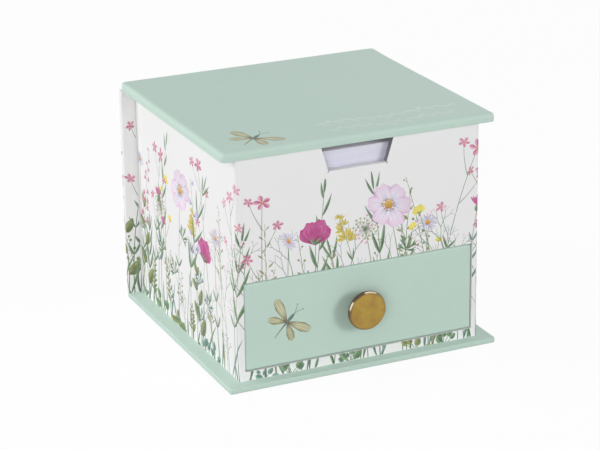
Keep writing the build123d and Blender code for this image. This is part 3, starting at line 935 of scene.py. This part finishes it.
def butterfly(sheet, place, heading, span):
    """A small olive butterfly seen from above: veined wings with dark edges, a slim body and two feelers."""
    body = bent_line(place, heading, span * 0.22, 0, 3)
    for side in (-1, 1):
        for spread, reach, width in ((120, 0.42, 0.17), (70, 0.56, 0.2)):
            way = heading + side * spread
            petal(sheet, place, way, span * reach, span * width, ("bark", "seed", "moss"), narrow=0.1)
            for fan in (-10, 0, 10):
                rib = bent_line(place, way + fan, span * reach * 0.9, -fan * 0.9, 6)
                stroke(sheet, rib, 0.22, 0.08, "moss", "seed_deep")
            for fan in (-21, 21):
                edge = bent_line(place, way + fan, span * reach * 0.96, -fan * 1.5, 9)
                stroke(sheet, edge, 0.26, 0.14, "umber", "moss")
        feeler = bent_line(body[-1], heading + side * 16, span * 0.2, side * 24, 6)
        stroke(sheet, feeler, 0.2, 0.14, "umber", "fir")
        dot(sheet, feeler[-1], 0.5, "umber", "bark")
    tail = bent_line(place, heading + 180, span * 0.38, 8, 6)
    stroke(sheet, tail, 0.7, 0.3, "fir", "moss_pale")
    blade(sheet, place, heading, span * 0.24, span * 0.075, "fir", "sea", blunt=0.7)
    for number in range(5):
        dot(sheet, spot(tail, 0.2 + 0.2 * number)[0], 0.5, "umber", "bark")


def chalk_vine(sheet, foot, length):
    """A fine white vine in outline: a waving stem with open leaves, and berries between them."""
    reach = np.linspace(0, length, 60)
    line = np.asarray(foot) + np.column_stack([reach, 1.3 * np.sin(reach / length * 3 * math.pi)])
    stroke(sheet, line, 0.28, 0.2, "chalk", "white")
    for number in range(18):
        start, heading = spot(line, 0.03 + 0.055 * number)
        side = (-1, 1)[number % 2]
        way = heading + side * sheet.vary(46, 8)
        if number % 4 == 3:
            stalk_line = bent_line(start, way, 2.8, -side * 70)
            stroke(sheet, stalk_line, 0.2, 0.14, "white", "white")
            dot(sheet, stalk_line[-1], 0.7, "white", "white")
            continue
        for bow in (-46, 46):
            side_line = bent_line(start, way - bow / 2, sheet.vary(3.8, 0.6), bow)
            stroke(sheet, side_line, 0.26, 0.16, "chalk", "white")


# ======== folding the print round the boards

INK_LIFT = 0.02
LEVEL_STEP = 0.0004
FOLD_STEPS = 6
TINY = 1e-6
SLIVER = 1e-5
MAP_MARGIN = 0.01
PRINT_TOP = 84.5
PRINT_GAP = 0.05


class Fold:
    """The way of a sheet round a board seen from above, anticlockwise, with round corners.

    Distances across the sheet are counted from the middle of the way."""

    def __init__(self, corners, radius):
        corners = np.array(corners, float)
        self.radius = radius
        self.parts = []
        across = 0.0
        bends = len(corners) - 2
        for index, run in enumerate(np.diff(corners, axis=0)):
            length = np.linalg.norm(run)
            way = run / length
            trim_start = radius if index > 0 else 0.0
            trim_end = radius if index < bends else 0.0
            flat = length - trim_start - trim_end
            self.parts.append(["flat", across, across + flat, corners[index] + way * trim_start, way])
            across += flat
            if trim_end:
                hub = corners[index + 1] - way * radius + np.array([-way[1], way[0]]) * radius
                bend = radius * math.pi / 2
                self.parts.append(["bend", across, across + bend, hub, way])
                across += bend
        self.end = across / 2
        for part in self.parts:
            part[1] -= self.end
            part[2] -= self.end

    def fold_lines(self):
        """Where the sheet has to be cut so that it can bend."""
        bends = [part[1:3] for part in self.parts if part[0] == "bend"]
        return np.concatenate([np.linspace(low, high, FOLD_STEPS + 1) for low, high in bends]).tolist()

    def upright(self, across, upward, lift):
        """Places of points of an upright sheet that follows this way, lifted off it."""
        points = np.zeros((len(across), 2))
        for kind, low, high, origin, way in self.parts:
            inside = (across >= low - TINY) & (across <= high + TINY)
            reach, rise = (across[inside] - low)[:, None], lift[inside][:, None]
            out = np.array([way[1], -way[0]])
            if kind == "flat":
                points[inside] = origin + way * reach + out * rise
            else:
                angle = reach / self.radius
                points[inside] = origin + (out * np.cos(angle) + way * np.sin(angle)) * (self.radius + rise)
        return np.column_stack([points, upward])


def drape_on(piece):
    """Gives the places of points of a sheet that lies on top of a piece and follows its rise and fall."""
    corners = [corner.co.copy() for corner in piece.data.vertices]
    surface = BVHTree.FromPolygons(corners, [tuple(face.vertices) for face in piece.data.polygons])

    def place(across, upward, lift):
        points = []
        for x, y, rise in zip(across, upward, lift):
            hit = surface.ray_cast(Vector((x * MM, y * MM, 1.0)), Vector((0, 0, -1)))[0]
            points.append((x, y, hit.z / MM + rise))
        return np.array(points)

    return place


def on_drawer_front(across, upward, lift):
    """Places of points of a sheet on the drawer's flat front."""
    return np.column_stack([across, front_low[1] - lift, upward])


def cut(work, along, where, clear=None):
    """Cut the flat print along a line across (0) or up (1) the sheet, and clear what lies outside."""
    normal = Vector((1 - along, along, 0))
    sides = {"clear_outer": clear == "beyond", "clear_inner": clear == "before"}
    parts = work.faces[:] + work.edges[:] + work.verts[:]
    bmesh.ops.bisect_plane(work, geom=parts, dist=TINY, plane_co=normal * where, plane_no=normal, **sides)


def flat_print(sheet, name):
    """A flat mesh of every patch on the sheet, level above level, with its inks."""
    points, inks, faces, count = [], [], [], 0
    for grid, shades, level in sheet.patches:
        flat = grid.reshape(-1, 2)
        points.append(np.column_stack([flat, np.full(len(flat), level * LEVEL_STEP)]))
        inks.append(np.insert(shades.reshape(-1, 3), 3, 1.0, axis=1))
        faces += quads(count + np.arange(len(flat)).reshape(grid.shape[:2]))
        count += len(flat)
    mesh = bpy.data.meshes.new(name)
    mesh.from_pydata(np.vstack(points).tolist(), [], faces)
    colours = mesh.attributes.new("ink", "FLOAT_COLOR", "POINT")
    colours.data.foreach_set("color", np.vstack(inks).astype(np.float32).ravel())
    return mesh


def unfold_map(work, rows):
    """The flat places, in one or more rows, are the texture map."""
    flat = np.array([v.co[:2] for v in work.verts])
    (left, bottom), (right, top) = flat.min(axis=0), flat.max(axis=0)
    layer = work.loops.layers.uv.new("OFBake")
    inner = 1 - 2 * MAP_MARGIN
    for face in work.faces:
        share = (face.calc_center_median().x - left) / (right - left)
        row = min(int(share * rows), rows - 1)
        for loop in face.loops:
            across = (loop.vert.co.x - left) / (right - left) * rows - row
            upward = (loop.vert.co.y - bottom) / (top - bottom)
            loop[layer].uv = (MAP_MARGIN + inner * across, (row + MAP_MARGIN + inner * upward) / rows)


def finish_print(sheet, name, body, placer, edges=(), windows=(), lines=(), rows=1):
    """Trim a flat print to its edges, cut its windows, lay it on the object and add it as a piece."""
    mesh = flat_print(sheet, name)
    work = bmesh.new()
    work.from_mesh(mesh)
    for along, (low, high) in enumerate(edges):
        cut(work, along, low, "before")
        cut(work, along, high, "beyond")
    for line in lines:
        cut(work, 0, line)
    for window in windows:
        for along in (0, 1):
            for where in window[along]:
                cut(work, along, where)
    unseen = []
    for face in work.faces:
        middle = face.calc_center_median()
        open_here = any(all(w[k][0] < middle[k] < w[k][1] for k in (0, 1)) for w in windows)
        if open_here or face.calc_area() < SLIVER:
            unseen.append(face)
    bmesh.ops.delete(work, geom=unseen, context="FACES")
    # the faces go in from the bottom up
    work.faces.sort(key=lambda face: face.verts[0].co.z)
    unfold_map(work, rows)
    work.to_mesh(mesh)
    work.free()
    flat = np.empty(len(mesh.vertices) * 3, np.float32)
    mesh.vertices.foreach_get("co", flat)
    across, upward, lift = flat.reshape(-1, 3).astype(float).T
    placed = placer(across, upward, lift + INK_LIFT)
    mesh.vertices.foreach_set("co", (placed * MM).astype(np.float32).ravel())
    mesh.update()
    piece = add_object(name, mesh, ink, body)
    piece.visible_shadow = piece.visible_diffuse = False


FRONT_PLANTS = (
    (baby_breath, -44, 58), (pink, -38, 68), (oat_grass, -34, 60), (daisy, -29, 52), (willow, -22, 68),
    (poppy, -21, 49), (thread_weed, -11, 62), (toadflax, 3, 60), (seed_globe, 8, 52), (lance_sprig, 9, 66),
    (windflower, 19, 60), (daisy, 28, 50), (berry_twig, 30, 70), (buttercup, 34, 55), (pink, 30, 78),
    (baby_breath, 43, 60), (knapweed, 45, 53), (pale_pink, 48, 66),
)
LEFT_PLANTS = (
    (pale_pink, -52, 70), (baby_breath, -57, 58), (oat_grass, -62, 62), (daisy, -66, 50), (pink, -72, 74),
    (poppy, -80, 37), (broadleaf, -84, 30), (bellflower, -88, 66), (toadflax, -94, 54),
    (lance_sprig, -99, 68), (windflower, -107, 58), (seed_globe, -115, 46), (buttercup, -119, 56),
    (willow, -124, 72), (knapweed, -129, 48), (pink, -133, 67), (broadleaf, -138, 40), (daisy, -141, 58),
    (loosestrife, -145, 66),
)
RIGHT_PLANTS = (
    (willow, 54, 58), (pink, 61, 68), (toadflax, 67, 52), (windflower, 77, 60), (oat_grass, 84, 64),
    (poppy, 91, 44), (lance_sprig, 98, 70), (bellflower, 105, 66), (daisy, 112, 52), (silver_sprig, 118, 62),
    (knapweed, 124, 50), (loosestrife, 131, 72), (seed_globe, 138, 50), (baby_breath, 143, 60),
)
SPINE_PLANTS = (
    (broadleaf, -60, 48), (windflower, -54, 52), (fern, -46, 50), (pink, -39, 68), (toadflax, -32, 52),
    (poppy, -24, 44), (lance_sprig, -17, 70), (seed_globe, -10, 50), (daisy, -3, 57), (loosestrife, 3, 72),
    (windflower, 13, 58), (buttercup, 21, 46), (bellflower, 27, 68), (oat_grass, 34, 62), (knapweed, 40, 52),
    (willow, 46, 66), (silver_sprig, 51, 60), (broadleaf, 56, 46), (daisy, 58.5, 57), (pink, 61, 70),
)


def print_body():
    """Wildflowers round the body's left side, front and right side."""
    half, front, back = body_high[0], body_low[1], body_high[1]
    fold = Fold(((-half, back), (-half, front), (half, front), (half, back)), BODY_CORNER_RADIUS)
    sheet = Sheet(seed=7)
    sow(sheet, -fold.end - 3, -half - 3, LEFT_PLANTS)
    sow(sheet, half + 2, fold.end + 3, RIGHT_PLANTS)
    sow(sheet, -half - 1, half + 1, FRONT_PLANTS, gap=7.0, shortest=42, tallest=62)
    window_half = lining_high[0] - PAPER
    window_low = limits("floor_board")[1][2] + PAPER
    window_high = limits("shelf")[0][2] - PAPER
    drawer_window = ((-window_half, window_half), (window_low, window_high))
    notch_window = ((-17.0, 15.0), (74.0, 90.0))
    reach = fold.end - BODY_CORNER_RADIUS
    edges = ((-reach, reach), (body_low[2] + PRINT_GAP, PRINT_TOP))
    lines = [*fold.fold_lines(), 0.0]
    windows = (drawer_window, notch_window)
    finish_print(sheet, "print_on_body", "box", fold.upright, edges, windows, lines, rows=2)


def print_spine():
    """Wildflowers over the spine's back, round its edges and on the two strips beside the body."""
    half, front, back, inner = spine_high[0], spine_low[1], spine_high[1], body_high[0]
    corners = ((inner, front), (half, front), (half, back), (-half, back), (-half, front), (-inner, front))
    fold = Fold(corners, SPINE_CORNER_RADIUS)
    sheet = Sheet(seed=19)
    sow(sheet, -fold.end - 3, fold.end + 3, SPINE_PLANTS)
    reach = fold.end - 0.3
    edges = ((-reach, reach), (spine_low[2] + PRINT_GAP, PRINT_TOP))
    lines = fold.fold_lines()
    finish_print(sheet, "print_on_spine", "box", fold.upright, edges, lines=lines)


def print_green_panels():
    """A butterfly on the lid and one on the drawer front, and two chalk-white vines on the lid."""
    sheet = Sheet(seed=3)
    butterfly(sheet, (-37.0, -38.5), 40, 20.5)
    chalk_vine(sheet, (-11.0, -34.5), 56.0)
    chalk_vine(sheet, (-9.0, -42.5), 49.0)
    finish_print(sheet, "print_on_lid", "lid", drape_on(lid_cover))
    sheet = Sheet(seed=4)
    butterfly(sheet, (-29.5, 22.0), 44, 18.5)
    finish_print(sheet, "print_on_drawer", "drawer", on_drawer_front)


print_body()
print_spine()
print_green_panels()

# ======== studio, in metres and watts

# Each softbox's place, power and size
SOFTBOXES = {
    "right_softbox": ((0.74, -1.36, 0.46), 7.3, 0.52),
    "left_softbox": ((-1.25, 0.5, 0.55), 10.1, 0.7),
    "front_softbox": ((-0.85, -1.2, 0.45), 6.6, 0.8),
    "top_softbox": ((0.1, 0.3, 1.5), 0.8, 0.9),
    "back_softbox": ((1.15, 1.2, 0.55), 3.0, 0.9),
}


def seen_directly(add):
    """A node that gives 1 where the camera, a reflection or a clear body shows the surface."""
    path = add("LightPath").outputs
    seen = path["Is Camera Ray"]
    for ray in ("Is Glossy Ray", "Is Transmission Ray"):
        seen = add("Math", {0: seen, 1: path[ray]}, operation="MAXIMUM")
    return seen


def make_floor():
    """A white studio floor: it takes the object's soft shadow and otherwise looks as bright as paper."""
    half_width, drop = 3.0, 0.00004
    mesh = bpy.data.meshes.new("studio_floor")
    work = bmesh.new()
    bmesh.ops.create_grid(work, x_segments=4, y_segments=4, size=half_width)
    work.to_mesh(mesh)
    work.free()
    floor = bpy.data.objects.new("studio_floor", mesh)
    floor.location.z = -drop
    bpy.context.scene.collection.objects.link(floor)
    material, add, _ = new_material("white_studio_floor")
    paper = add("BsdfDiffuse", {"Color": "#B4B4B4"})
    glow = add("Emission", {"Color": "#FFFFFF", "Strength": 1.1})
    seen = add("Math", {0: seen_directly(add), 1: 0.85}, operation="MULTIPLY")
    add("OutputMaterial", {"Surface": add("MixShader", {0: seen, 1: paper, 2: glow})})
    mesh.materials.append(material)


def make_world():
    """Even pale light from all round, seen by the camera as white."""
    world = bpy.data.worlds.new("studio")
    bpy.context.scene.world = world
    world.use_nodes = True
    world.node_tree.nodes.clear()
    add = partial(add_node, world.node_tree)
    fill = add("Background", {"Color": "#F6F8FD", "Strength": 0.38})
    white = add("Background", {"Color": "#FFFFFF", "Strength": 1.0})
    add("OutputWorld", {"Surface": add("MixShader", {0: seen_directly(add), 1: fill, 2: white})})


def make_softboxes():
    """Square softboxes that face the object's middle."""
    for name, (place, power, size) in SOFTBOXES.items():
        lamp = bpy.data.lights.new(name, "AREA")
        lamp.energy, lamp.size = power, size
        holder = bpy.data.objects.new(name, lamp)
        holder.location = place
        aim = Vector((0.0, 0.0, 0.04)) - Vector(place)
        holder.rotation_euler = aim.to_track_quat("-Z", "Y").to_euler()
        bpy.context.scene.collection.objects.link(holder)


def make_camera():
    """The photograph's viewpoint: low to the left of the front, through a long lens."""
    azimuth, elevation, roll = (math.radians(a) for a in (-24.374, 20.027, -0.821))
    distance = 0.81846
    target = Vector((-0.001526, 0.0011, 0.038575))
    right = Vector((math.cos(azimuth), math.sin(azimuth), 0.0))
    away = Vector((math.sin(azimuth), -math.cos(azimuth), 0.0))
    back = away * math.cos(elevation) + Vector((0.0, 0.0, math.sin(elevation)))
    up = back.cross(right)
    rolled_right = right * math.cos(roll) + up * math.sin(roll)
    rolled_up = up * math.cos(roll) - right * math.sin(roll)
    data = bpy.data.cameras.new("camera")
    data.sensor_width, data.lens = 36.0, 128.51
    data.clip_start, data.clip_end = 0.05, 20.0
    camera = bpy.data.objects.new("camera", data)
    turn = Matrix((rolled_right, rolled_up, back)).transposed()
    camera.matrix_world = Matrix.Translation(target + back * distance) @ turn.to_4x4()
    bpy.context.scene.collection.objects.link(camera)
    bpy.context.scene.camera = camera


make_floor()
make_world()
make_softboxes()
make_camera()
bpy.context.scene.view_settings.view_transform = "Standard"
